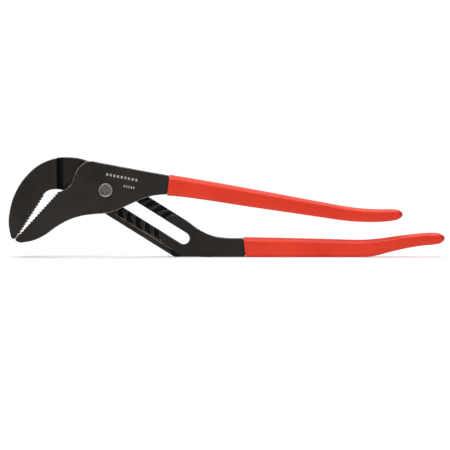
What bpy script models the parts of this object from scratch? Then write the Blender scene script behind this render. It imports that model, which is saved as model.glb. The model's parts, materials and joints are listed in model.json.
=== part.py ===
"""Tongue and groove pliers, standing on edge on the lower handle.

X runs along the tool with the jaws at -X, Y is its thickness with the tongue half in front
(towards -Y), and Z is up. The origin lies on the surface that the tool stands on, under the
middle of its box. Outlines are in millimetres and are scaled to metres as they are built.

Two forged halves cross on one bolt. The groove half (upper jaw, rail, lower handle) has a long
slot, flanked by curved grooves. The tongue half (lower jaw, joint plate, upper handle) carries
a curved tongue that seats in one groove at a time, so the bolt can stand at seven settings.
"""

import math

import bmesh
import bpy
from mathutils import Matrix, Vector

MM = 0.001

# Frame of the joint, in side view (X, Z)
PIVOT = Vector((-116.3, 64.4))
SLOT_TILT = math.radians(32.0)
ALONG = Vector((math.cos(SLOT_TILT), -math.sin(SLOT_TILT)))
ACROSS = Vector((-math.sin(SLOT_TILT), -math.cos(SLOT_TILT)))

# Settings: six steps of one groove pitch, taken on a very large circle
PITCH = 9.85
STEPS = 6
GROOVES = 9
SETTING_SWING = math.radians(6.6)
SETTING_RADIUS = STEPS * PITCH / 2 / math.sin(SETTING_SWING / 2)
SETTING_CENTRE = (
    PIVOT + ALONG * (STEPS * PITCH / 2) - ACROSS * SETTING_RADIUS * math.cos(SETTING_SWING / 2)
)
SWING = math.radians(55.0)

# Thickness, measured from the plane between the two halves
MIDPLANE_Y = -2.4
JAW_HALF = 9.5
FACE_GAP = 0.15
HANDLE_HALF = 4.75
CLEARANCE = 0.3

# Slot and grooves in the rail, and the cove where the jaw steps down to it
SLOT_HALF = 5.75
SLOT_LENGTH = 87.9
SLOT_SHIFT = 0.1
RAIL_UP = 15.8
RAIL_DOWN = 20.05
GROOVE_RADII = (16.7, 22.1)
GROOVE_STARTS = (-50.0, -58.0)
GROOVE_END = 14.8
GROOVE_DEPTH = 4.2
TONGUE_RADII = (17.1, 21.7)
TONGUE_ANGLES = (-46.0, -26.0)
TONGUE_TIP = 3.7
FOOT_RELIEF = 1.4
COVE_X = -163.4
COVE_RADIUS = 6.0

# Pivot fastener
SHANK_RADIUS = 4.6
BORE_RADIUS = 4.95
HEAD_RADIUS = 6.6
HEAD_TOP = 12.2
WASHER_RADIUS = 10.5
WASHER_THICK = 1.6
NUT_RADIUS = 8.8
NUT_THICK = 4.6
SHANK_END = 17.0

# Jaws and grips
TOOTH_PITCH = 3.2
TOOTH_DEPTH = 1.3
GRIP_WALL = 1.5
CURVE_STEPS = 8

BLACK_OXIDE = ((0.040, 0.036, 0.031, 1.0), 0.42, 0.85)
BRIGHT_STEEL = ((0.42, 0.40, 0.38, 1.0), 0.32, 1.0)
RED_VINYL = ((0.76, 0.055, 0.028, 1.0), 0.38, 0.0)


def corners(*points):
    return [(x, z, "VECTOR") for x, z in points]


def smooth(*points):
    return [(x, z, "AUTO") for x, z in points]


UPPER_GRIP = (
    corners((-55.2, 79.1))
    + smooth((-25.5, 74.2), (20.7, 65.9), (66.8, 57.3), (89.9, 53.0), (112.9, 48.8), (124.4, 47.2))
    + smooth((136.0, 46.2), (150.0, 45.8), (160.5, 45.7), (166.6, 44.3), (169.1, 40.6), (165.2, 36.5))
    + smooth((158.0, 34.7), (147.5, 33.7), (136.0, 33.5), (124.4, 33.9), (112.9, 34.9), (89.9, 38.2))
    + smooth((66.8, 41.6), (20.7, 48.3), (-25.5, 55.4), (-48.5, 58.3))
    + corners((-57.5, 59.0))
)
LOWER_GRIP = (
    corners((15.9, 19.0))
    + smooth((49.5, 18.35), (95.6, 17.25), (118.7, 16.6), (130.2, 16.5), (141.7, 17.15), (153.3, 18.5))
    + smooth((164.8, 20.2), (176.3, 21.6), (187.9, 22.7), (198.0, 23.1), (205.5, 22.0), (209.6, 18.3))
    + smooth((206.0, 13.6), (199.4, 11.9), (187.9, 10.8), (176.3, 9.0), (164.8, 6.6), (153.3, 3.8))
    + smooth((145.0, 1.6), (136.5, 0.3))
    + corners((127.0, 0.0), (17.9, 0.0))
)

FOOT_RELIEF_OUTLINE = corners((-57.9, 9.9), (-45.2, 2.5), (-44.2, -1.0), (-51.4, -1.0))


def at(along, across):
    """A side-view point placed from the pivot: along the slot, and across it, downwards."""
    return PIVOT + ALONG * along + ACROSS * across


def teeth(start, end):
    """Saw teeth between two points, cut into the solid on the left of the line."""
    start, end = Vector(start), Vector(end)
    line = end - start
    count = round(line.length / TOOTH_PITCH)
    inward = Vector((-line.y, line.x)).normalized() * TOOTH_DEPTH
    points = [start]
    for tooth in range(count):
        points.append(start + line * ((tooth + 0.5) / count) + inward)
        points.append(start + line * ((tooth + 1) / count))
    return corners(*points)


def inset(points, distance):
    """The same outline, each point moved inwards. Outlines run clockwise in side view."""
    moved = []
    last = len(points) - 1
    for index, (x, z, kind) in enumerate(points):
        before = points[max(index - 1, 0)]
        after = points[min(index + 1, last)]
        run = Vector((after[0] - before[0], after[1] - before[1])).normalized()
        moved.append((x + run.y * distance, z - run.x * distance, kind))
    return moved


def sector(centre, radii, angles):
    """A ring sector. Angles are from the slot's jaw end, downwards, for (outer, inner) ends."""
    points = []
    for radius, (first, last) in zip(radii, angles):
        steps = max(4, round(abs(last - first) / 7))
        for step in range(steps + 1):
            angle = math.radians(first + (last - first) * step / steps)
            points.append(centre - ALONG * radius * math.cos(angle) + ACROSS * radius * math.sin(angle))
    return corners(*points)


def setting_point(step):
    """Where the pivot stands at one setting, in the groove half's frame."""
    turn = Matrix.Rotation(SETTING_SWING * step / STEPS, 2)
    return SETTING_CENTRE + turn @ (PIVOT - SETTING_CENTRE)


def groove_outline(step):
    inner, outer = GROOVE_RADII
    outer_start, inner_start = GROOVE_STARTS
    outer_end = math.degrees(math.asin(GROOVE_END / outer))
    inner_end = math.degrees(math.asin(GROOVE_END / inner))
    return sector(setting_point(step), (outer, inner), ((outer_start, outer_end), (inner_end, inner_start)))


def slot_outline():
    points = []
    for along, turn in ((0.0, 90.0), (SLOT_LENGTH, -90.0)):
        for step in range(13):
            angle = math.radians(turn + 15.0 * step)
            offset = SLOT_HALF * Vector((math.cos(angle), math.sin(angle)))
            points.append(at(along + offset.x, SLOT_SHIFT - offset.y))
    return corners(*points)


def tongue_half_outline():
    tang = inset(UPPER_GRIP, GRIP_WALL + CLEARANCE)
    jaw = corners((-197.8, 13.9), (-200.6, 14.6), (-202.9, 16.0), (-203.2, 17.2), (-200.1, 21.9))
    biting_edge = teeth((-197.5, 22.1), (-160.5, 62.7))
    plate = corners((-158.6, 63.7), (-154.3, 65.2)) + smooth((-149.4, 70.4), (-146.6, 77.8), (-142.4, 85.8))
    plate += corners((-134.8, 92.1), (-129.3, 92.1), (-94.7, 85.5), (-71.6, 81.2), (-55.7, 78.3))
    under = corners((-57.85, 60.1)) + smooth((-66.0, 59.6), (-75.0, 58.0), (-87.5, 53.3), (-99.9, 47.7))
    under += smooth((-109.5, 43.7), (-118.2, 42.0), (-129.0, 41.2), (-140.8, 39.3), (-152.3, 35.5))
    under += smooth((-163.8, 29.1), (-175.4, 20.9), (-186.9, 15.7))
    return jaw + biting_edge + plate + corners((-55.9, 77.2)) + tang[1:-1] + corners((-57.75, 60.9)) + under


def groove_half_outline():
    tang = inset(LOWER_GRIP, GRIP_WALL + CLEARANCE)
    nose = corners((-203.9, 17.6), (-205.6, 17.5), (-207.2, 18.9))
    nose += smooth((-209.0, 27.4), (-209.6, 34.5), (-208.8, 42.6), (-207.2, 50.45), (-204.2, 59.4))
    nose += smooth((-198.2, 70.6), (-192.7, 77.8), (-186.9, 83.7), (-181.1, 88.1), (-175.4, 91.3))
    nose += smooth((-164.5, 95.0), (-155.2, 95.9), (-146.6, 95.4), (-139.5, 94.0))
    top = corners(at(-22.0, -RAIL_UP), at(82.5, -RAIL_UP))
    top += smooth((-25.5, 25.2), (-14.4, 20.4), (-2.0, 18.3)) + corners((15.6, 17.95), (15.7, 17.15))
    foot = corners((17.3, 1.8), (17.5, 0.0), (-50.4, 0.0), at(88.0, RAIL_DOWN))
    neck = corners(at(-30.0, RAIL_DOWN)) + smooth((-158.1, 64.3), (-163.9, 65.2), (-169.6, 64.5))
    neck += smooth((-173.4, 62.8))
    biting_edge = teeth((-177.2, 59.4), (-201.1, 22.4))
    return nose + top + tang[1:-1] + foot + neck + biting_edge


def tongue_half_plan():
    front = corners((-215.0, -JAW_HALF), (-82.0, -JAW_HALF), (-66.0, -HANDLE_HALF), (215.0, -HANDLE_HALF))
    rear = corners((215.0, HANDLE_HALF), (-64.5, HANDLE_HALF), (-74.5, -FACE_GAP), (-80.0, -FACE_GAP))
    return front + rear + corners((-80.0, JAW_HALF), (-215.0, JAW_HALF))


def groove_half_plan():
    """The jaw's front is hollowed down to the rail with a round cove."""
    cove = []
    for step in range(7):
        angle = math.radians(180.0 - 15.0 * step)
        rise = COVE_RADIUS * (math.sin(angle) - 1.0)
        cove.append((COVE_X + COVE_RADIUS * (1.0 + math.cos(angle)), FACE_GAP + rise))
    front = corners((-215.0, -JAW_HALF), (COVE_X, -JAW_HALF), *cove)
    front += corners((-27.0, FACE_GAP), (-14.0, -HANDLE_HALF), (215.0, -HANDLE_HALF))
    return front + corners((215.0, HANDLE_HALF), (-14.0, HANDLE_HALF), (-27.0, JAW_HALF), (-215.0, JAW_HALF))


def rear_recess_outline():
    """What the tongue half leaves free for the rail, over the whole opening swing."""
    sweep = SWING + SETTING_SWING + math.radians(4.0)
    edge = RAIL_DOWN + 0.5
    corner_along = -edge * math.tan(sweep / 2)
    fall = Vector((math.cos(sweep), math.sin(sweep))) * 45.0
    neck = ((-185.0, 67.4), (-162.0, 64.2), at(-30.0, edge))
    shoulder = (at(corner_along, edge), at(corner_along + fall.x, edge + fall.y))
    return corners(*neck, *shoulder, (-79.0, -10.0), (-79.0, 120.0), (-185.0, 120.0))


def clear_scene():
    for obj in list(bpy.data.objects):
        bpy.data.objects.remove(obj)


def new_collection(name):
    made = bpy.data.collections.new(name)
    bpy.context.scene.collection.children.link(made)
    return made


def material(name, look):
    colour, roughness, metallic = look
    made = bpy.data.materials.new(name)
    made.use_nodes = True
    shader = made.node_tree.nodes["Principled BSDF"]
    shader.inputs["Base Color"].default_value = colour
    shader.inputs["Roughness"].default_value = roughness
    shader.inputs["Metallic"].default_value = metallic
    return made


def extruded(name, points, low, high, collection, plan=False):
    """An outline made solid between two planes: across Y, or up Z for a plan outline."""
    curve = bpy.data.curves.new(name, "CURVE")
    curve.dimensions = "2D"
    curve.fill_mode = "BOTH"
    curve.resolution_u = CURVE_STEPS
    curve.extrude = (high - low) / 2 * MM
    spline = curve.splines.new("BEZIER")
    spline.bezier_points.add(len(points) - 1)
    spline.use_cyclic_u = True
    for knot, (x, rise, kind) in zip(spline.bezier_points, points):
        knot.co = (x * MM, rise * MM, 0.0)
        knot.handle_left_type = kind
        knot.handle_right_type = kind
    guide = bpy.data.objects.new(name + "_outline", curve)
    collection.objects.link(guide)
    middle = (low + high) / 2 * MM
    if plan:
        guide.matrix_world = Matrix.Translation((0.0, MIDPLANE_Y * MM, middle))
    else:
        upright = Matrix.Rotation(math.pi / 2, 4, "X")
        guide.matrix_world = Matrix.Translation((0.0, MIDPLANE_Y * MM + middle, 0.0)) @ upright
    return as_mesh(name, guide, collection)


def as_mesh(name, guide, collection):
    bpy.context.view_layer.update()
    graph = bpy.context.evaluated_depsgraph_get()
    mesh = bpy.data.meshes.new_from_object(guide.evaluated_get(graph))
    mesh.name = name
    form = bmesh.new()
    form.from_mesh(mesh)
    bmesh.ops.remove_doubles(form, verts=form.verts, dist=0.01 * MM)
    bmesh.ops.recalc_face_normals(form, faces=form.faces)
    form.to_mesh(mesh)
    form.free()
    mesh.transform(guide.matrix_world)
    made = bpy.data.objects.new(name, mesh)
    collection.objects.link(made)
    bpy.data.objects.remove(guide)
    return made


def turned(name, profile, closed, collection, steps=40):
    """A profile of (radius, height towards the front), revolved about the bolt's axis."""
    mesh = bpy.data.meshes.new(name)
    count = len(profile)
    edges = [(index, index + 1) for index in range(count - 1)]
    if closed:
        edges.append((count - 1, 0))
    mesh.from_pydata([(radius * MM, 0.0, height * MM) for radius, height in profile], edges, [])
    made = bpy.data.objects.new(name, mesh)
    collection.objects.link(made)
    screw = made.modifiers.new("turn", "SCREW")
    screw.steps = steps
    screw.render_steps = steps
    screw.use_merge_vertices = True
    screw.merge_threshold = 0.00001
    made.location = (PIVOT.x * MM, MIDPLANE_Y * MM, PIVOT.y * MM)
    made.rotation_euler.x = math.pi / 2
    return made


def cylinder(name, centre, radius, low, high, sides, collection):
    """A prism along Y, between two planes measured from the midplane."""
    mesh = bpy.data.meshes.new(name)
    form = bmesh.new()
    bmesh.ops.create_cone(
        form,
        cap_ends=True,
        segments=sides,
        radius1=radius * MM,
        radius2=radius * MM,
        depth=(high - low) * MM,
    )
    form.to_mesh(mesh)
    form.free()
    made = bpy.data.objects.new(name, mesh)
    collection.objects.link(made)
    made.location = (centre.x * MM, (MIDPLANE_Y + (low + high) / 2) * MM, centre.y * MM)
    made.rotation_euler.x = math.pi / 2
    return made


def combine(target, tool, operation):
    step = target.modifiers.new(tool.name, "BOOLEAN")
    step.operation = operation
    step.object = tool
    tool.hide_render = True
    tool.display_type = "WIRE"


def set_origin(obj, centre):
    """Puts the origin on the joint's axis, at the midplane."""
    point = Vector((centre.x * MM, MIDPLANE_Y * MM, centre.y * MM))
    obj.data.transform(Matrix.Translation(-point))
    obj.location = point


def make_tongue_half(parts, cutters):
    half = extruded("tongue_half", tongue_half_outline(), -JAW_HALF - 1, JAW_HALF + 1, parts)
    plan = extruded("tongue_half_plan", tongue_half_plan(), -20.0, 120.0, cutters, plan=True)
    recess = extruded("rail_recess", rear_recess_outline(), -FACE_GAP, JAW_HALF + 3, cutters)
    bore = cylinder("pivot_bore", PIVOT, BORE_RADIUS, -JAW_HALF - 3, 6.0, 40, cutters)
    inner, outer = TONGUE_RADII
    first, last = TONGUE_ANGLES
    tongue_outline = sector(PIVOT, (outer, inner), ((first, last), (last, first)))
    tongue = extruded("tongue", tongue_outline, -2.0, TONGUE_TIP, cutters)
    combine(half, plan, "INTERSECT")
    combine(half, recess, "DIFFERENCE")
    combine(half, bore, "DIFFERENCE")
    combine(half, tongue, "UNION")
    set_origin(half, PIVOT)
    return half


def make_groove_half(parts, cutters):
    half = extruded("groove_half", groove_half_outline(), -JAW_HALF - 1, JAW_HALF + 1, parts)
    plan = extruded("groove_half_plan", groove_half_plan(), -20.0, 120.0, cutters, plan=True)
    slot = extruded("slot", slot_outline(), -3.0, JAW_HALF + 3, cutters)
    relief = extruded("foot_relief", FOOT_RELIEF_OUTLINE, -3.0, FOOT_RELIEF, cutters)
    combine(half, plan, "INTERSECT")
    combine(half, slot, "DIFFERENCE")
    combine(half, relief, "DIFFERENCE")
    for step in range(GROOVES):
        groove = extruded(f"groove_{step}", groove_outline(step), -2.0, GROOVE_DEPTH, cutters)
        combine(half, groove, "DIFFERENCE")
    return half


def make_grip(name, outline, parts, cutters):
    """A dipped sleeve, open at its mouth and closed at the handle's end."""
    half = HANDLE_HALF + CLEARANCE
    grip = extruded(name, outline, -half - GRIP_WALL, half + GRIP_WALL, parts)
    hollow = inset(outline, GRIP_WALL)
    first, last = Vector(hollow[0][:2]), Vector(hollow[-1][:2])
    out = Vector((-6.0, 1.2)) if name == "upper_grip" else Vector((-6.0, 0.0))
    hollow = corners(first + out) + hollow + corners(last + out)
    cavity = extruded(name + "_cavity", hollow, -half, half, cutters)
    combine(grip, cavity, "DIFFERENCE")
    return grip


def make_fastener(parts, cutters):
    head_under = JAW_HALF + CLEARANCE
    bolt_profile = [
        (0.0, HEAD_TOP - 0.6),
        (4.3, HEAD_TOP - 0.6),
        (4.9, HEAD_TOP),
        (6.1, HEAD_TOP),
        (HEAD_RADIUS, HEAD_TOP - 0.7),
        (HEAD_RADIUS, head_under),
        (SHANK_RADIUS, head_under),
        (SHANK_RADIUS, 0.6 - SHANK_END),
        (SHANK_RADIUS - 0.6, -SHANK_END),
        (0.0, -SHANK_END),
    ]
    bolt = turned("pivot_bolt", bolt_profile, False, parts)
    bore = SHANK_RADIUS + CLEARANCE
    washer_top = -JAW_HALF - CLEARANCE
    washer_base = washer_top - WASHER_THICK
    ring = [
        (bore, washer_top),
        (WASHER_RADIUS - 0.4, washer_top),
        (WASHER_RADIUS, washer_top - 0.4),
        (WASHER_RADIUS, washer_base + 0.4),
        (WASHER_RADIUS - 0.4, washer_base),
        (bore, washer_base),
    ]
    washer = turned("slot_washer", ring, True, parts)
    nut_front = -washer_base + CLEARANCE
    nut = cylinder("lock_nut", PIVOT, NUT_RADIUS, nut_front, nut_front + NUT_THICK, 6, parts)
    thread = cylinder("nut_bore", PIVOT, bore, nut_front - 1, nut_front + NUT_THICK + 1, 40, cutters)
    combine(nut, thread, "DIFFERENCE")
    return bolt, washer, nut


def joint_axis(name, centre, parts, parent=None):
    axis = bpy.data.objects.new(name, None)
    axis.empty_display_size = 0.01
    axis.location = (centre.x * MM, MIDPLANE_Y * MM, centre.y * MM)
    parts.objects.link(axis)
    if parent:
        hang(axis, parent)
    return axis


def hang(child, parent):
    bpy.context.view_layer.update()
    child.parent = parent
    child.matrix_parent_inverse = parent.matrix_world.inverted()


def finish(obj, look, sharp_angle=30.0):
    obj.data.materials.clear()
    obj.data.materials.append(look)
    obj.data.shade_smooth()
    obj.data.set_sharp_from_angle(angle=math.radians(sharp_angle))


def main():
    clear_scene()
    parts = new_collection("tongue_and_groove_pliers")
    cutters = new_collection("cutters")
    steel = material("black_oxide_steel", BLACK_OXIDE)
    bright = material("bright_steel", BRIGHT_STEEL)
    vinyl = material("red_vinyl", RED_VINYL)

    groove_half = make_groove_half(parts, cutters)
    tongue_half = make_tongue_half(parts, cutters)
    lower_grip = make_grip("lower_grip", LOWER_GRIP, parts, cutters)
    upper_grip = make_grip("upper_grip", UPPER_GRIP, parts, cutters)
    set_origin(upper_grip, PIVOT)
    bolt, washer, nut = make_fastener(parts, cutters)

    finish(groove_half, steel)
    finish(tongue_half, steel)
    finish(lower_grip, vinyl)
    finish(upper_grip, vinyl)
    finish(bolt, bright)
    finish(washer, bright)
    finish(nut, steel)

    setting_axis = joint_axis("setting_axis", SETTING_CENTRE, parts)
    swing_axis = joint_axis("swing_axis", PIVOT, parts, setting_axis)
    hang(tongue_half, swing_axis)
    hang(upper_grip, swing_axis)
    for piece in (bolt, washer, nut):
        hang(piece, setting_axis)
    hang(lower_grip, groove_half)


main()
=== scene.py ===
"""Looks of the tongue and groove pliers: forged halves, dipped grips and the pivot fastener."""

import json
import math

import bmesh
import bpy
import numpy as np
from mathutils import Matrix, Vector, noise


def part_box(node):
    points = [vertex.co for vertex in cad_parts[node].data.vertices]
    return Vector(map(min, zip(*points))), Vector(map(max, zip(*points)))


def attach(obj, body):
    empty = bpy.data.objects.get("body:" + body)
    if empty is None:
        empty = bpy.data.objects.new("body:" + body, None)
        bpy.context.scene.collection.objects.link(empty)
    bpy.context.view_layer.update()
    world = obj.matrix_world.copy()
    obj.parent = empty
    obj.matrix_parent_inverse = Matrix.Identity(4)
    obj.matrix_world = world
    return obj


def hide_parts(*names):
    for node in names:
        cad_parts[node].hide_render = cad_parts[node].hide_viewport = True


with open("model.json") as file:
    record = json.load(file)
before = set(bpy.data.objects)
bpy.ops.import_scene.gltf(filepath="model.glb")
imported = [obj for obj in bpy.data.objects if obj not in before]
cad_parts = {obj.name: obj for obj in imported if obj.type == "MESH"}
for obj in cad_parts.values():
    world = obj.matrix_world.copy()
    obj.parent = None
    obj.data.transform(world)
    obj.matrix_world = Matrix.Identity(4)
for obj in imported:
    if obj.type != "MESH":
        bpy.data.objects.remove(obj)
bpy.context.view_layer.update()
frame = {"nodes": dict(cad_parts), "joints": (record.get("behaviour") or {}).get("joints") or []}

MM = 0.001
NODES = frame["nodes"]
JOINTS = {joint["name"]: joint for joint in frame["joints"]}
PIVOT = Vector(JOINTS["handle_swing"]["pos_m"])

# Edges of the forgings
EDGE_ROUND = 0.6 * MM
FINE_EDGE_ROUND = 0.2 * MM
SHARP = math.radians(35.0)
TOOTH_LINES = (
    (Vector((-0.1772, 0.0594)), Vector((-0.2011, 0.0224))),
    (Vector((-0.1975, 0.0221)), Vector((-0.1605, 0.0627))),
)
TOOTH_REACH = 1.8 * MM
FLAT_ANGLE = math.radians(0.6)
SAME_POINT = 0.004 * MM
JAW_TIP_X = -194.0 * MM
JAW_TIP_Z = 30.0 * MM
COVE_START_X = -163.4 * MM
COVE_END_X = -157.3 * MM
RAIL_FRONT_Y = -2.25 * MM
RECESS_BACK_Y = 1.85 * MM
UNDER_GRIP = 1.0 * MM
FACE_SLACK = 0.02 * MM
COVE_SLACK = 0.05 * MM
PLANE_SLACK = 0.1 * MM
LEAST_SLOPE = 0.02
ACROSS_SHARE = 0.3
FACE_ORDER = Vector((1.0, 0.618, 0.377))

# Fine lines on the steel: a row is (start, count, pitch, length, width)
MARK_TILT = math.radians(11.0)
MARK_RAISE = 0.03 * MM
MARK_ROWS = (
    ((-0.1148, 0.0795), 9, 3.55 * MM, 2.2 * MM, 2.6 * MM),
    ((-0.0985, 0.0684), 5, 2.35 * MM, 1.3 * MM, 2.3 * MM),
)
SLOT_TILT = math.radians(32.0)
RIDGE_SPAN = (18.0 * MM, 84.0 * MM)
RIDGE_ACROSS = 15.1 * MM
RIDGE_WIDTH = 0.45 * MM
RIDGE_RAISE = 0.06 * MM
RIDGE_SINK = 0.05 * MM
BAR_CUT = 0.25

# Grips
GRIP_STATIONS = 110
GRIP_WALL = 1.35 * MM
LOWER_LEAN = -2.0 * MM
UPPER_LEAN = 2.3 * MM
LEAN_FADE = 8.0
MOUTH_DEPTH = 9.0 * MM
LIP_ROUND = 0.45 * MM
LIP_ANGLES = (0.0, 30.0, 60.0, 90.0)
END_ROUND = 7.5 * MM
LAST_STATION = 0.12 * MM
POLE_INSET = 0.03 * MM
LEAST_HEIGHT = 0.05 * MM
MOUTH_INSET = 0.05 * MM
END_INSET = 0.02 * MM
TOP_CHAMFER = (3.3 * MM, 0.46)
FOOT_CHAMFER = (2.2 * MM, 0.20)
CORNER_BLEND = 1.5 * MM
CORNER_SHARE = 0.46
CORNER_STEPS = 4

# Fastener
TURN_STEPS = 72
HEAD_HEIGHT = 2.4 * MM
HEAD_EDGE = 0.15 * MM
RIM = 0.42 * MM
RIM_SLOPE = 0.25 * MM
DISH_DEPTH = 0.5 * MM
DISH_CROWN = 0.15 * MM
DISH_RINGS = 9
DISH_PITCH = 0.52 * MM
PEEN_HEIGHT = 0.16 * MM
PEEN_SCALE = 900.0
PEEN_DEPTH = 1.0 * MM
PEEN_MARGIN = 1.6 * MM
PEEN_LOOK_MARGIN = 1.15 * MM
SHANK = 4.6 * MM
SHANK_CHAMFER = 0.6 * MM
SHANK_TIP = 0.7 * MM
THREAD_BORE = 4.9 * MM
THREAD_PITCH = 1.25 * MM
THREAD_DEPTH = 0.4 * MM
WASHER_EDGE = 0.35 * MM
NUT_CHAMFER = 0.8 * MM
NUT_MOUTH = 0.5 * MM
NUT_CROWN = 0.97
NUT_CORNER = 1.01

# Studio
FILL_STRENGTH = 0.30
WHITE_STRENGTH = 1.05
FLOOR_CELLS = 12
FLOOR_HALF = 0.45
FLOOR_DROP = 0.0002
SURROUND_HALF = 4.0
SURROUND_DROP = 0.0006
LIGHT_TARGET = Vector((0.0, 0.0, 0.04))
SOFTBOXES = (
    ("overhead_softbox", (-0.1, 0.0, 1.25), 1.6, 25.0),
    ("front_softbox", (-0.9, -1.4, 0.8), 0.9, 5.0),
)

# Camera
VIEW_WIDTH = 0.4325
LENS = 240.0
SENSOR = 36.0
VIEW_CENTRE = Vector((-0.0019, -0.0065, 0.0308))
VIEW_ELEVATION = math.radians(2.2)


# ---------------------------------------------------------------- materials


class Shader:
    """A node material in the making: short names for the nodes that the finishes share."""

    def __init__(self, name):
        self.material = bpy.data.materials.new(name)
        self.material.use_nodes = True
        self.nodes = self.material.node_tree.nodes
        self.links = self.material.node_tree.links
        self.principled = self.nodes["Principled BSDF"]
        coordinates = self.nodes.new("ShaderNodeTexCoord")
        self.position = coordinates.outputs["Object"]

    def set(self, **values):
        for key, value in values.items():
            self.principled.inputs[key.replace("_", " ")].default_value = value

    def noise(self, scale, detail=4.0, roughness=0.55):
        texture = self.nodes.new("ShaderNodeTexNoise")
        texture.inputs["Scale"].default_value = scale
        texture.inputs["Detail"].default_value = detail
        texture.inputs["Roughness"].default_value = roughness
        self.links.new(self.position, texture.inputs["Vector"])
        return texture.outputs["Fac"]

    def ramp(self, source, stops):
        ramp = self.nodes.new("ShaderNodeValToRGB")
        elements = ramp.color_ramp.elements
        while len(elements) < len(stops):
            elements.new(0.5)
        for element, (place, colour) in zip(elements, stops):
            element.position = place
            element.color = (*colour, 1.0)
        self.links.new(source, ramp.inputs["Fac"])
        return ramp.outputs["Color"]

    def multiply(self, first, second):
        mix = self.nodes.new("ShaderNodeMix")
        mix.data_type = "RGBA"
        mix.blend_type = "MULTIPLY"
        sockets = {socket.name: socket for socket in mix.inputs if socket.enabled}
        sockets["Factor"].default_value = 1.0
        self.links.new(first, sockets["A"])
        self.links.new(second, sockets["B"])
        return next(socket for socket in mix.outputs if socket.enabled)

    def span(self, source, low, high):
        """The source's middle range mapped to low..high."""
        spread = self.nodes.new("ShaderNodeMapRange")
        spread.inputs["From Min"].default_value = 0.3
        spread.inputs["From Max"].default_value = 0.7
        spread.inputs["To Min"].default_value = low
        spread.inputs["To Max"].default_value = high
        self.links.new(source, spread.inputs["Value"])
        return spread.outputs["Result"]

    def bump(self, source, height, chained=None):
        bump = self.nodes.new("ShaderNodeBump")
        bump.inputs["Strength"].default_value = 1.0
        bump.inputs["Distance"].default_value = height
        self.links.new(source, bump.inputs["Height"])
        if chained:
            self.links.new(chained, bump.inputs["Normal"])
        return bump.outputs["Normal"]

    def feed(self, source, socket):
        self.links.new(source, self.principled.inputs[socket])


def black_oxide():
    look = Shader("black_oxide_steel")
    look.set(Metallic=0.0, Specular_IOR_Level=0.20)
    cloud = look.noise(17.0, 6.0, 0.62)
    grain = look.noise(900.0, 3.0, 0.6)
    tone = look.ramp(cloud, [(0.34, (0.0105, 0.0080, 0.0064)), (0.66, (0.0250, 0.0202, 0.0166))])
    speck = look.ramp(grain, [(0.36, (0.86, 0.86, 0.86)), (0.64, (1.12, 1.11, 1.10))])
    look.feed(look.multiply(tone, speck), "Base Color")
    look.feed(look.span(look.noise(60.0, 4.0), 0.42, 0.58), "Roughness")
    forged = look.bump(look.noise(70.0, 3.0), 0.00012)
    look.feed(look.bump(grain, 0.00002, forged), "Normal")
    return look.material


def recess_oxide_and_painted_shade():
    """The oxide where a cutter went deep, in the grooves and the cove: near-black, partly the oil that
    stays there and partly painted shade where these hollows lie in shadow.
    """
    look = Shader("recess_oxide_and_painted_shade")
    look.set(Metallic=0.0, Specular_IOR_Level=0.12)
    film = look.noise(260.0, 4.0, 0.6)
    tone = look.ramp(film, [(0.32, (0.0018, 0.0015, 0.0013)), (0.7, (0.0070, 0.0060, 0.0052))])
    look.feed(tone, "Base Color")
    look.feed(look.span(film, 0.42, 0.60), "Roughness")
    look.feed(look.bump(look.noise(700.0), 0.00004), "Normal")
    return look.material


# Paler steel for the rounded edges and the rim ridge: wear, and a painted highlight along each edge.
def worn_edge_and_painted_highlight():
    look = Shader("worn_edge_and_painted_highlight")
    look.set(Metallic=0.0, Specular_IOR_Level=0.5)
    patch = look.noise(160.0, 4.0, 0.65)
    tone = look.ramp(patch, [(0.35, (0.055, 0.050, 0.045)), (0.62, (0.230, 0.215, 0.200))])
    look.feed(tone, "Base Color")
    look.feed(look.span(patch, 0.48, 0.34), "Roughness")
    look.feed(look.bump(look.noise(900.0), 0.00004), "Normal")
    return look.material


def bright_steel():
    look = Shader("bright_steel")
    look.set(Metallic=1.0)
    cloud = look.noise(420.0, 4.0, 0.6)
    look.feed(look.ramp(cloud, [(0.3, (0.29, 0.275, 0.265)), (0.7, (0.44, 0.42, 0.41))]), "Base Color")
    look.feed(look.span(cloud, 0.28, 0.42), "Roughness")
    look.feed(look.bump(look.noise(1400.0, 3.0), 0.00003), "Normal")
    return look.material


def peened_steel():
    look = Shader("peened_steel")
    look.set(Metallic=1.0)
    pits = look.noise(620.0, 5.0, 0.65)
    tone = look.ramp(pits, [(0.34, (0.075, 0.062, 0.058)), (0.66, (0.235, 0.208, 0.200))])
    look.feed(tone, "Base Color")
    look.feed(look.span(pits, 0.60, 0.42), "Roughness")
    look.feed(look.bump(pits, 0.00025), "Normal")
    return look.material


def nut_steel():
    look = Shader("nut_steel")
    look.set(Metallic=1.0)
    cloud = look.noise(240.0, 4.0, 0.6)
    look.feed(look.ramp(cloud, [(0.3, (0.10, 0.097, 0.093)), (0.7, (0.19, 0.184, 0.178))]), "Base Color")
    look.feed(look.span(cloud, 0.34, 0.50), "Roughness")
    look.feed(look.bump(look.noise(1100.0, 3.0), 0.00003), "Normal")
    return look.material


def red_vinyl():
    look = Shader("red_vinyl")
    look.set(Metallic=0.0, Specular_IOR_Level=0.28, Coat_Weight=0.05, Coat_Roughness=0.25)
    drift = look.noise(26.0, 3.0, 0.5)
    tone = look.ramp(drift, [(0.3, (0.700, 0.031, 0.0095)), (0.7, (0.790, 0.043, 0.0135))])
    look.feed(tone, "Base Color")
    look.feed(look.span(look.noise(90.0, 3.0), 0.34, 0.44), "Roughness")
    skin = look.bump(look.noise(45.0, 2.0, 0.4), 0.00030)
    look.feed(look.bump(look.noise(750.0, 2.0), 0.000018, skin), "Normal")
    return look.material


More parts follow.
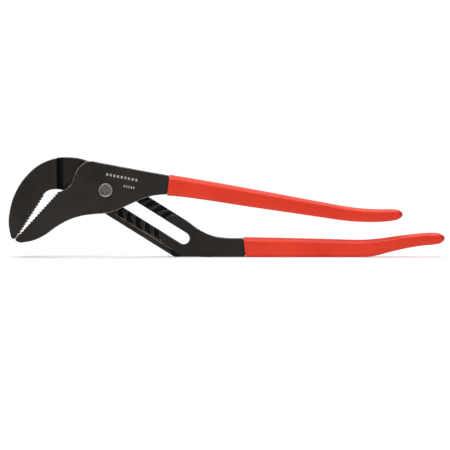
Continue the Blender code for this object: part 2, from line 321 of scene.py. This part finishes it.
def etched_mark():
    look = Shader("etched_mark")
    look.set(Metallic=0.0)
    worn = look.noise(500.0, 4.0, 0.6)
    tone = look.ramp(worn, [(0.32, (0.12, 0.105, 0.085)), (0.55, (0.43, 0.385, 0.315))])
    look.feed(tone, "Base Color")
    look.feed(look.span(worn, 0.6, 0.45), "Roughness")
    return look.material


def pale_floor():
    look = Shader("pale_floor")
    look.set(Specular_IOR_Level=0.1, Emission_Color=(1.0, 1.0, 1.0, 1.0), Emission_Strength=0.17)
    haze = look.noise(2.0, 2.0)
    look.feed(look.ramp(haze, [(0.2, (0.74, 0.74, 0.74)), (0.8, (0.77, 0.77, 0.77))]), "Base Color")
    look.feed(look.span(haze, 0.75, 0.85), "Roughness")
    return look.material


def white_surround():
    look = Shader("white_surround")
    look.set(Base_Color=(0.0, 0.0, 0.0, 1.0), Specular_IOR_Level=0.0)
    look.set(Emission_Color=(1.0, 1.0, 1.0, 1.0), Emission_Strength=WHITE_STRENGTH)
    return look.material


# ---------------------------------------------------------------- shared mesh work


def new_object(name, form, *materials):
    mesh = bpy.data.meshes.new(name)
    form.to_mesh(mesh)
    form.free()
    for look in materials:
        mesh.materials.append(look)
    made = bpy.data.objects.new(name, mesh)
    bpy.context.scene.collection.objects.link(made)
    return made


def finish_piece(piece, body, slot, *replaced):
    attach(piece, body)
    if replaced:
        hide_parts(*replaced)


def bridge(form, before, after):
    """Faces between two loops of as many points."""
    for index in range(len(before)):
        following = (index + 1) % len(before)
        form.faces.new((before[index], before[following], after[following], after[index]))


def even_shading(piece, angle=40.0):
    piece.data.shade_smooth()
    piece.data.set_sharp_from_angle(angle=math.radians(angle))
    weighted = piece.modifiers.new("flat_faces", "WEIGHTED_NORMAL")
    weighted.keep_sharp = True


# ---------------------------------------------------------------- forgings


def near_teeth(point):
    place = Vector((point.x, point.z))
    for first, last in TOOTH_LINES:
        line = last - first
        share = min(max((place - first).dot(line) / line.length_squared, 0.0), 1.0)
        if (first + line * share - place).length < TOOTH_REACH:
            return True
    return False


def in_recess(points):
    """Whether points lie between the rail's front and the bottom of its grooves."""
    depths = [point.y for point in points]
    starts_behind = min(depths) > RAIL_FRONT_Y - FACE_SLACK
    return starts_behind and RAIL_FRONT_Y + PLANE_SLACK < max(depths) < RECESS_BACK_Y


def in_cove(face):
    """Whether a face is part of the hollow where the jaw steps down to the rail."""
    within = all(COVE_START_X - COVE_SLACK < vertex.co.x < COVE_END_X for vertex in face.verts)
    faces_front = face.normal.y < LEAST_SLOPE and face.normal.x > LEAST_SLOPE
    return within and faces_front and abs(face.normal.z) < LEAST_SLOPE


def forging(name, node, body, hidden_from):
    """The CAD half with its flat faces merged, its edges rounded and paler (wear and painted highlight),
    its grooves and cove near-black (oil and painted shade).
    hidden_from is the X past which a grip covers the handle, so its edges stay plain."""
    form = bmesh.new()
    form.from_mesh(NODES[node].data)
    bmesh.ops.remove_doubles(form, verts=form.verts, dist=SAME_POINT)
    bmesh.ops.dissolve_limit(form, angle_limit=FLAT_ANGLE, verts=form.verts, edges=form.edges)
    # Faces in the grooves and the cove get the near-black recess material: oil, and painted shade where
    # these hollows lie in shadow.
    if node == "groove_half":
        for face in form.faces:
            if in_recess([vertex.co for vertex in face.verts]) or in_cove(face):
                face.material_index = 2
    wide_edges = []
    fine_edges = []
    for edge in form.edges:
        if len(edge.link_faces) != 2 or edge.calc_face_angle() < SHARP:
            continue
        first, last = edge.verts[0].co, edge.verts[1].co
        if min(first.x, last.x) > hidden_from:
            continue
        middle = (first + last) / 2
        across = abs(last.y - first.y) > ACROSS_SHARE * edge.calc_length()
        grooved = in_recess([first, last]) or any(face.material_index == 2 for face in edge.link_faces)
        cove_edge = max(abs(first.x - COVE_START_X), abs(last.x - COVE_START_X)) < PLANE_SLACK
        if cove_edge or (across and near_teeth(middle)):
            continue
        at_tip = middle.x < JAW_TIP_X and middle.z < JAW_TIP_Z
        chosen = fine_edges if across or grooved or at_tip or near_teeth(middle) else wide_edges
        chosen.append(edge)
    # The rounded edges take material 1, the paler edge steel: wear and a painted highlight.
    for edges, width, steps in ((wide_edges, EDGE_ROUND, 3), (fine_edges, FINE_EDGE_ROUND, 1)):
        bmesh.ops.bevel(
            form,
            geom=[edge for edge in edges if edge.is_valid],
            offset=width,
            offset_type="OFFSET",
            segments=steps,
            profile=0.5,
            affect="EDGES",
            clamp_overlap=False,
            material=1,
        )
    bmesh.ops.recalc_face_normals(form, faces=form.faces)
    # A bevel adds its faces in an order that varies, so they are put in a fixed one.
    form.faces.sort(key=lambda face: face.calc_center_median().dot(FACE_ORDER))
    looks = [MATERIALS[key] for key in ("black_oxide", "worn_edge_and_painted_highlight", "recess_oxide_and_painted_shade")]
    piece = new_object(name, form, *looks)
    even_shading(piece)
    finish_piece(piece, body, "black_oxide_steel", node)


def plain_bar(form, centre, along, across, length, width, low_y, high_y):
    """A flat bar with cut corners, standing on the face at high_y."""
    cut = min(length, width) * BAR_CUT
    half_length, half_width = length / 2, width / 2
    outline = []
    for side_a, side_b in ((1, 1), (-1, 1), (-1, -1), (1, -1)):
        pair = [(half_length, half_width - cut), (half_length - cut, half_width)]
        if side_a * side_b < 0:
            pair.reverse()
        outline += [(side_a * a, side_b * b) for a, b in pair]
    rings = []
    for y in (low_y, high_y):
        ring = []
        for a, b in outline:
            spot = centre + along * a + across * b
            ring.append(form.verts.new((spot.x, y, spot.y)))
        rings.append(ring)
    front, back = rings
    form.faces.new(front)
    form.faces.new(back)
    bridge(form, front, back)


def etched_dashes():
    """Two rows of plain dashes on the joint plate, where such a tool is usually marked."""
    along = Vector((math.cos(MARK_TILT), -math.sin(MARK_TILT)))
    across = Vector((along.y, -along.x))
    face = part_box("tongue_half")[0].y
    form = bmesh.new()
    for start, count, pitch, length, width in MARK_ROWS:
        for index in range(count):
            centre = Vector(start) + along * pitch * index
            plain_bar(form, centre, along, across, length, width, face - MARK_RAISE, face + MARK_RAISE)
    bmesh.ops.recalc_face_normals(form, faces=form.faces)
    piece = new_object("etched_dashes", form, MATERIALS["etched_mark"])
    finish_piece(piece, "tongue_half", "bright_steel")


def rim_ridge():
    """The fine raised line that bounds the ground band of the rail."""
    along = Vector((math.cos(SLOT_TILT), -math.sin(SLOT_TILT)))
    across = Vector((-math.sin(SLOT_TILT), -math.cos(SLOT_TILT)))
    pivot = Vector((PIVOT.x, PIVOT.z))
    first, last = RIDGE_SPAN
    centre = pivot + along * (first + last) / 2 + across * RIDGE_ACROSS
    form = bmesh.new()
    low_y, high_y = RAIL_FRONT_Y - RIDGE_RAISE, RAIL_FRONT_Y + RIDGE_SINK
    plain_bar(form, centre, along, across, last - first, RIDGE_WIDTH, low_y, high_y)
    bmesh.ops.recalc_face_normals(form, faces=form.faces)
    # The ridge takes the paler edge steel: a painted highlight along the line, with wear.
    piece = new_object("rail_rim_ridge", form, MATERIALS["worn_edge_and_painted_highlight"])
    finish_piece(piece, "groove_half", "black_oxide_steel")


# ---------------------------------------------------------------- grips


def span_at(mesh_points, edges, x):
    """Lowest and highest Z of a mesh on the plane at x."""
    first, second = mesh_points[edges[:, 0]], mesh_points[edges[:, 1]]
    crossing = (first[:, 0] - x) * (second[:, 0] - x) <= 0
    first, second = first[crossing], second[crossing]
    run = second[:, 0] - first[:, 0]
    level = np.abs(run) < 1e-9
    share = np.where(level, 0.5, (x - first[:, 0]) / np.where(level, 1.0, run))
    heights = first[:, 2] + (second[:, 2] - first[:, 2]) * share
    return heights.min(), heights.max()


def grip_section(half_y, half_z):
    """Round a handle's section, as (y, share of half_z): flat faces, a broad chamfer along the
    top edges and a small one below, with every corner blended by the vinyl."""
    top_y, top_share = TOP_CHAMFER
    foot_y, foot_share = FOOT_CHAMFER
    narrow = min(1.0, half_y / (2.0 * top_y))
    top_y, foot_y = top_y * narrow, foot_y * narrow
    side = [(half_y - top_y, 1.0), (half_y, 1.0 - top_share), (half_y, foot_share - 1.0)]
    side.append((half_y - foot_y, -1.0))
    outline = side + [(-y, share) for y, share in reversed(side)]
    points = []
    for index, (y, share) in enumerate(outline):
        corner = Vector((y, share * half_z))
        ends = []
        for neighbour in (outline[index - 1], outline[(index + 1) % len(outline)]):
            run = Vector((neighbour[0], neighbour[1] * half_z)) - corner
            ends.append(corner + run * min(CORNER_SHARE, CORNER_BLEND / max(run.length, 1e-7)))
        for step in range(CORNER_STEPS + 1):
            t = step / CORNER_STEPS
            blend = ends[0] * (1 - t) ** 2 + corner * 2 * t * (1 - t) + ends[1] * t**2
            points.append((blend.x, blend.y / half_z))
    return points


def dipped_grip(name, node, body, lean):
    """A sleeve lofted through the CAD grip's outer shape, with a slanted lip and a round end.
    lean is how much further along X the top of the mouth lies than its bottom."""
    source = NODES[node].data
    points = np.array([vertex.co for vertex in source.vertices])
    edges = np.array([edge.vertices for edge in source.edges])
    low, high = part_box(node)
    middle_y = (low.y + high.y) / 2
    half_y = (high.y - low.y) / 2
    start = low.x + abs(lean) / 2
    length = high.x - start
    form = bmesh.new()

    def ring(x, shrink, slant):
        ends = []
        for side, shift in ((0, -slant / 2), (1, slant / 2)):
            place = min(max(x + shift, low.x + MOUTH_INSET), high.x - END_INSET)
            ends.append(span_at(points, edges, place)[side])
        height = max((ends[1] - ends[0]) / 2 - shrink, LEAST_HEIGHT)
        into_end = max(0.0, (x - (high.x - END_ROUND)) / END_ROUND)
        depth = (half_y - shrink) * math.sqrt(max(0.0, 1.0 - into_end**2))
        verts = []
        for y, share in grip_section(depth, height):
            place = (x + slant / 2 * share, middle_y + y, (ends[0] + ends[1]) / 2 + height * share)
            verts.append(form.verts.new(place))
        return verts

    rings = [ring(start + MOUTH_DEPTH, GRIP_WALL, lean), ring(start + LIP_ROUND, GRIP_WALL, lean)]
    for angle in LIP_ANGLES:
        turn = math.radians(angle)
        along = LIP_ROUND * (1.0 - math.sin(turn))
        rings.append(ring(start + along, LIP_ROUND * math.cos(turn), lean))
    body_start = start + LIP_ROUND
    for station in range(GRIP_STATIONS + 1):
        share = math.sin(math.pi / 2 * station / GRIP_STATIONS)
        x = body_start + (length - LIP_ROUND - LAST_STATION) * share
        rings.append(ring(x, 0.0, lean * max(0.0, 1.0 - share * LEAN_FADE)))
    for before, after in zip(rings, rings[1:]):
        bridge(form, before, after)
    last = rings[-1]
    tip = sum((vertex.co for vertex in last), Vector()) / len(last)
    pole = form.verts.new((high.x - POLE_INSET, tip.y, tip.z))
    for index in range(len(last)):
        form.faces.new((last[index], last[(index + 1) % len(last)], pole))
    bmesh.ops.remove_doubles(form, verts=form.verts, dist=0.002 * MM)
    bmesh.ops.recalc_face_normals(form, faces=form.faces)
    piece = new_object(name, form, MATERIALS["red_vinyl"])
    piece.data.shade_smooth()
    finish_piece(piece, body, "red_vinyl", node)


# ---------------------------------------------------------------- fastener


def around_bolt(radius, angle, y):
    return (PIVOT.x + radius * math.cos(angle), y, PIVOT.z + radius * math.sin(angle))


def lathe(profile):
    """A (radius, y) profile turned about the bolt's axis. Points on the axis close the ends."""
    form = bmesh.new()
    rings = []
    for radius, y in profile:
        if radius < 1e-6:
            rings.append([form.verts.new(around_bolt(0.0, 0.0, y))])
            continue
        ring = []
        for step in range(TURN_STEPS):
            ring.append(form.verts.new(around_bolt(radius, 2 * math.pi * step / TURN_STEPS, y)))
        rings.append(ring)
    for before, after in zip(rings, rings[1:]):
        if len(before) == len(after):
            bridge(form, before, after)
            continue
        for index in range(TURN_STEPS):
            following = (index + 1) % TURN_STEPS
            if len(before) == 1:
                form.faces.new((before[0], after[index], after[following]))
            else:
                form.faces.new((before[index], before[following], after[0]))
    return form


def arc_points(centre, radius, first, last, steps):
    points = []
    for step in range(steps + 1):
        angle = math.radians(first + (last - first) * step / steps)
        points.append((centre[0] + radius * math.cos(angle), centre[1] + radius * math.sin(angle)))
    return points


def pivot_bolt():
    """Head with a raised round rim and a peened, uneven middle; a threaded shank and its end."""
    low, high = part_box("pivot_bolt")
    head = (high.x - low.x) / 2
    under = low.y + HEAD_HEIGHT
    dish = low.y + DISH_DEPTH
    profile = [(0.0, dish - DISH_CROWN)]
    for step in range(1, DISH_RINGS + 1):
        profile.append((DISH_PITCH * step, dish - DISH_CROWN * (1 - step / (DISH_RINGS + 1))))
    profile += arc_points((head - RIM - RIM_SLOPE, low.y + RIM), RIM, 200.0, 270.0, 4)
    profile += arc_points((head - RIM, low.y + RIM), RIM, 270.0, 360.0, 5)
    profile += [(head, under - HEAD_EDGE), (head - HEAD_EDGE, under), (SHANK, under)]
    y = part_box("lock_nut")[0].y - THREAD_PITCH
    while y < high.y - 1.5 * THREAD_PITCH:
        profile += [(SHANK, y), (SHANK - THREAD_DEPTH, y + THREAD_PITCH / 2)]
        y += THREAD_PITCH
    profile += [(SHANK, high.y - SHANK_TIP), (SHANK - SHANK_CHAMFER, high.y), (0.0, high.y)]
    form = lathe(profile)
    for vertex in form.verts:
        off_axis = math.hypot(vertex.co.x - PIVOT.x, vertex.co.z - PIVOT.z)
        if vertex.co.y < under - PEEN_DEPTH and off_axis < head - PEEN_MARGIN:
            vertex.co.y += PEEN_HEIGHT * noise.noise(vertex.co * PEEN_SCALE)
    bmesh.ops.recalc_face_normals(form, faces=form.faces)
    for face in form.faces:
        middle = face.calc_center_median()
        off_axis = math.hypot(middle.x - PIVOT.x, middle.z - PIVOT.z)
        if middle.y < under and off_axis < head - PEEN_LOOK_MARGIN:
            face.material_index = 1
    looks = [MATERIALS[key] for key in ("bright_steel", "peened_steel")]
    piece = new_object("bolt_with_peened_head", form, *looks)
    even_shading(piece, 50.0)
    finish_piece(piece, "pivot", "bright_steel", "pivot_bolt")


def slot_washer():
    """A flat ring with its outer edges rounded."""
    low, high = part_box("slot_washer")
    outer = (high.x - low.x) / 2
    inner = THREAD_BORE
    edge = WASHER_EDGE
    profile = [(inner + edge, low.y), (outer - edge, low.y)]
    profile += arc_points((outer - edge, low.y + edge), edge, 270.0, 360.0, 4)[1:]
    profile += arc_points((outer - edge, high.y - edge), edge, 0.0, 90.0, 4)
    profile += [(inner + edge, high.y), (inner, high.y - edge), (inner, low.y + edge)]
    profile.append(profile[0])
    form = lathe(profile)
    bmesh.ops.remove_doubles(form, verts=form.verts, dist=0.001 * MM)
    bmesh.ops.recalc_face_normals(form, faces=form.faces)
    piece = new_object("flat_slot_washer", form, MATERIALS["bright_steel"])
    even_shading(piece)
    finish_piece(piece, "pivot", "bright_steel", "slot_washer")


def lock_nut():
    """A hexagon whose corners are turned off to a cone at both ends, with a chamfered bore."""
    low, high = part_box("lock_nut")
    across_corners = (high.z - low.z) / 2
    flat = across_corners * math.cos(math.pi / 6)
    crown = flat * NUT_CROWN
    full = across_corners * NUT_CORNER
    mouth = THREAD_BORE + NUT_MOUTH
    levels = (
        (low.y, crown),
        (low.y + NUT_CHAMFER, full),
        (high.y - NUT_CHAMFER, full),
        (high.y, crown),
        (high.y, mouth),
        (high.y - NUT_MOUTH, THREAD_BORE),
        (low.y + NUT_MOUTH, THREAD_BORE),
        (low.y, mouth),
    )
    form = bmesh.new()
    rings = []
    for y, limit in levels:
        ring = []
        for step in range(TURN_STEPS):
            angle = 2 * math.pi * step / TURN_STEPS
            off_flat = (angle + math.pi / 6) % (math.pi / 3) - math.pi / 6
            radius = min(limit, flat / math.cos(off_flat))
            ring.append(form.verts.new(around_bolt(radius, angle + math.pi / 3, y)))
        rings.append(ring)
    for before, after in zip(rings, rings[1:] + rings[:1]):
        bridge(form, before, after)
    bmesh.ops.recalc_face_normals(form, faces=form.faces)
    piece = new_object("hexagon_lock_nut", form, MATERIALS["nut_steel"])
    even_shading(piece, 25.0)
    finish_piece(piece, "pivot", "nut_steel", "lock_nut")


# ---------------------------------------------------------------- setting


def ground_sheet(name, half, drop, material):
    form = bmesh.new()
    bmesh.ops.create_grid(form, x_segments=FLOOR_CELLS, y_segments=FLOOR_CELLS, size=half)
    ground = new_object(name, form, MATERIALS[material])
    ground.location.z = -drop
    return ground


def floor():
    """A lit floor under the tool, and a white surround that gives it no light."""
    ground_sheet("studio_floor", FLOOR_HALF, FLOOR_DROP, "pale_floor")
    surround = ground_sheet("studio_surround", SURROUND_HALF, SURROUND_DROP, "white_surround")
    surround.visible_diffuse = False
    surround.visible_glossy = False
    surround.visible_shadow = False


def soft_light(name, location, side, power):
    data = bpy.data.lights.new(name, "AREA")
    data.shape = "SQUARE"
    data.size = side
    data.energy = power
    lamp = bpy.data.objects.new(name, data)
    bpy.context.scene.collection.objects.link(lamp)
    lamp.location = location
    lamp.rotation_euler = (LIGHT_TARGET - lamp.location).to_track_quat("-Z", "Y").to_euler()


def studio():
    """A white surround that the camera sees in full, but that lights the tool only weakly."""
    world = bpy.data.worlds.new("studio")
    world.use_nodes = True
    nodes, links = world.node_tree.nodes, world.node_tree.links
    fill = nodes["Background"]
    fill.inputs["Color"].default_value = (1.0, 1.0, 1.0, 1.0)
    fill.inputs["Strength"].default_value = FILL_STRENGTH
    seen = nodes.new("ShaderNodeBackground")
    seen.inputs["Color"].default_value = (1.0, 1.0, 1.0, 1.0)
    seen.inputs["Strength"].default_value = WHITE_STRENGTH
    path = nodes.new("ShaderNodeLightPath")
    choice = nodes.new("ShaderNodeMixShader")
    links.new(path.outputs["Is Camera Ray"], choice.inputs["Fac"])
    links.new(fill.outputs["Background"], choice.inputs[1])
    links.new(seen.outputs["Background"], choice.inputs[2])
    links.new(choice.outputs["Shader"], nodes["World Output"].inputs["Surface"])
    bpy.context.scene.world = world
    bpy.context.scene.view_settings.view_transform = "Standard"
    for name, location, side, power in SOFTBOXES:
        soft_light(name, location, side, power)


def camera():
    data = bpy.data.cameras.new("photo_view")
    data.lens = LENS
    data.sensor_width = SENSOR
    data.clip_start = 0.01
    eye = bpy.data.objects.new("photo_view", data)
    bpy.context.scene.collection.objects.link(eye)
    distance = VIEW_WIDTH * LENS / SENSOR
    back = Vector((0.0, -math.cos(VIEW_ELEVATION), math.sin(VIEW_ELEVATION)))
    eye.location = VIEW_CENTRE + back * distance
    eye.rotation_euler = (-back).to_track_quat("-Z", "Y").to_euler()
    bpy.context.scene.camera = eye


MATERIALS = {
    "black_oxide": black_oxide(),
    "recess_oxide_and_painted_shade": recess_oxide_and_painted_shade(),
    "worn_edge_and_painted_highlight": worn_edge_and_painted_highlight(),
    "bright_steel": bright_steel(),
    "peened_steel": peened_steel(),
    "nut_steel": nut_steel(),
    "red_vinyl": red_vinyl(),
    "etched_mark": etched_mark(),
    "pale_floor": pale_floor(),
    "white_surround": white_surround(),
}

camera()
studio()
floor()
forging("groove_half_forging", "groove_half", "groove_half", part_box("lower_grip")[0].x)
forging("tongue_half_forging", "tongue_half", "tongue_half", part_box("upper_grip")[0].x + UNDER_GRIP)
rim_ridge()
etched_dashes()
dipped_grip("lower_dipped_grip", "lower_grip", "groove_half", LOWER_LEAN)
dipped_grip("upper_dipped_grip", "upper_grip", "tongue_half", UPPER_LEAN)
pivot_bolt()
slot_washer()
lock_nut()
